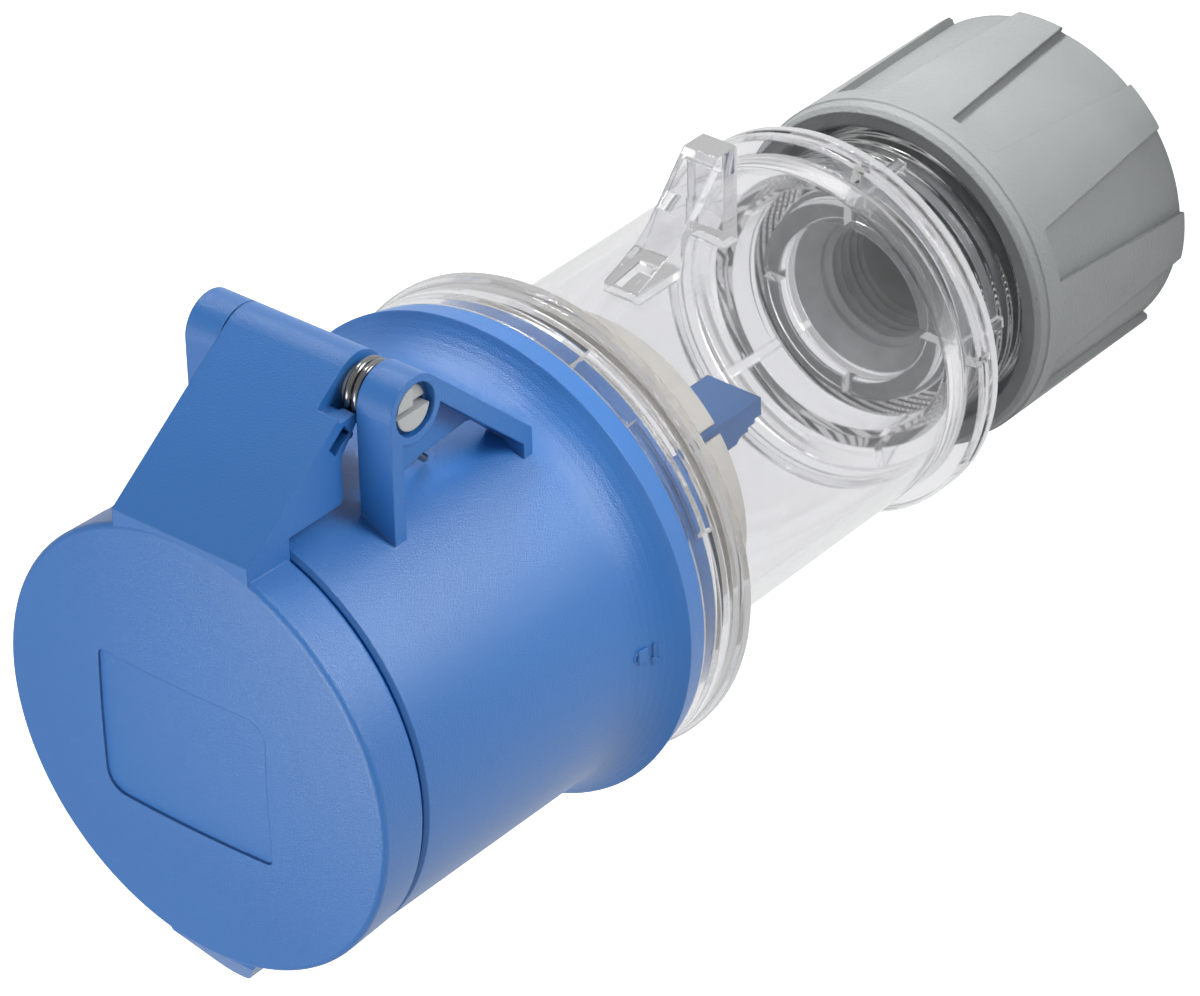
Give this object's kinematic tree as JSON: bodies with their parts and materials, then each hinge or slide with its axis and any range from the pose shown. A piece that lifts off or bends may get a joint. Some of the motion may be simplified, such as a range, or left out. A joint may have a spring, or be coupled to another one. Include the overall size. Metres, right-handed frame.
{
  "type": "industrial pin and sleeve connector",
  "caption": "Industrial pin and sleeve coupler with a sprung hinged lid, blue socket barrel, clear cable housing with a strap eye, and a grey cable gland nut.",
  "frame": {"origin": "centre of the gland nut's rear face, on which the part stands", "axes": "+Z along the main axis from the gland nut to the lid; the lid's hinge is on the -Y side"},
  "size_m": [0.0593, 0.0734, 0.1548],
  "materials": {
    "blue_plastic": "satin, finely textured",
    "clear_plastic": "clear, polished",
    "grey_plastic": "matte, finely textured",
    "carrier_plastic": "satin",
    "latch_plastic": "satin",
    "pin_plastic": "satin",
    "cage_plastic": "satin",
    "seal_rubber": "matte",
    "gland_rubber": "matte",
    "contact_brass": "bright",
    "spring_steel": "polished wire",
    "screw_steel": "zinc plated"
  },
  "bodies": {
    "cable_housing_body": {"cable_housing": "clear_plastic", "gland_seal": "gland_rubber", "clamp_cage": "cage_plastic"},
    "socket_body": {"socket_housing": "blue_plastic", "hinge_pin": "pin_plastic", "lid_spring": "spring_steel", "terminal_block": "carrier_plastic", "contact_carrier": "carrier_plastic", "line_contact": "contact_brass", "neutral_contact": "contact_brass", "earth_contact": "contact_brass", "line_clip": "spring_steel", "neutral_clip": "spring_steel", "earth_clip": "spring_steel", "line_screw": "screw_steel", "neutral_screw": "screw_steel", "earth_screw": "screw_steel", "carrier_screws": "screw_steel", "housing_seal": "seal_rubber"},
    "lid_body": {"lid": "blue_plastic", "lid_gasket": "seal_rubber"},
    "latch_body": {"release_latch": "latch_plastic"},
    "pressure_ring_body": {"pressure_ring": "cage_plastic"},
    "gland_nut_body": {"gland_nut": "grey_plastic"}
  },
  "joints": [
    {"name": "bayonet_turn", "type": "hinge", "parent": "cable_housing_body", "child": "socket_body", "pos_m": [0, 0, 0.1], "axis": [0, 0, 1], "range_deg": [0, 30]},
    {"name": "lid_hinge", "type": "hinge", "parent": "socket_body", "child": "lid_body", "pos_m": [0, -0.037, 0.1319], "axis": [1, 0, 0], "range_deg": [0, 115], "stiffness_Nm_per_rad": 0.02, "springref_deg": -60.16, "deforming": ["lid_spring"]},
    {"name": "latch_slide", "type": "slide", "parent": "socket_body", "child": "latch_body", "axis": [0, 0, 1], "range_m": [0, 0.0016]},
    {"name": "gland_slide", "type": "slide", "parent": "cable_housing_body", "child": "pressure_ring_body", "axis": [0, 0, 1], "range_m": [-0.003, 0.006]},
    {"name": "nut_turn", "type": "hinge", "parent": "pressure_ring_body", "child": "gland_nut_body", "pos_m": [0, 0, 0.015], "axis": [0, 0, 1], "range_deg": [-360, 720]}
  ],
  "couplings": [
    {"joint": "gland_slide", "follows": "nut_turn", "m_per_rad": 0.00047746}
  ]
}
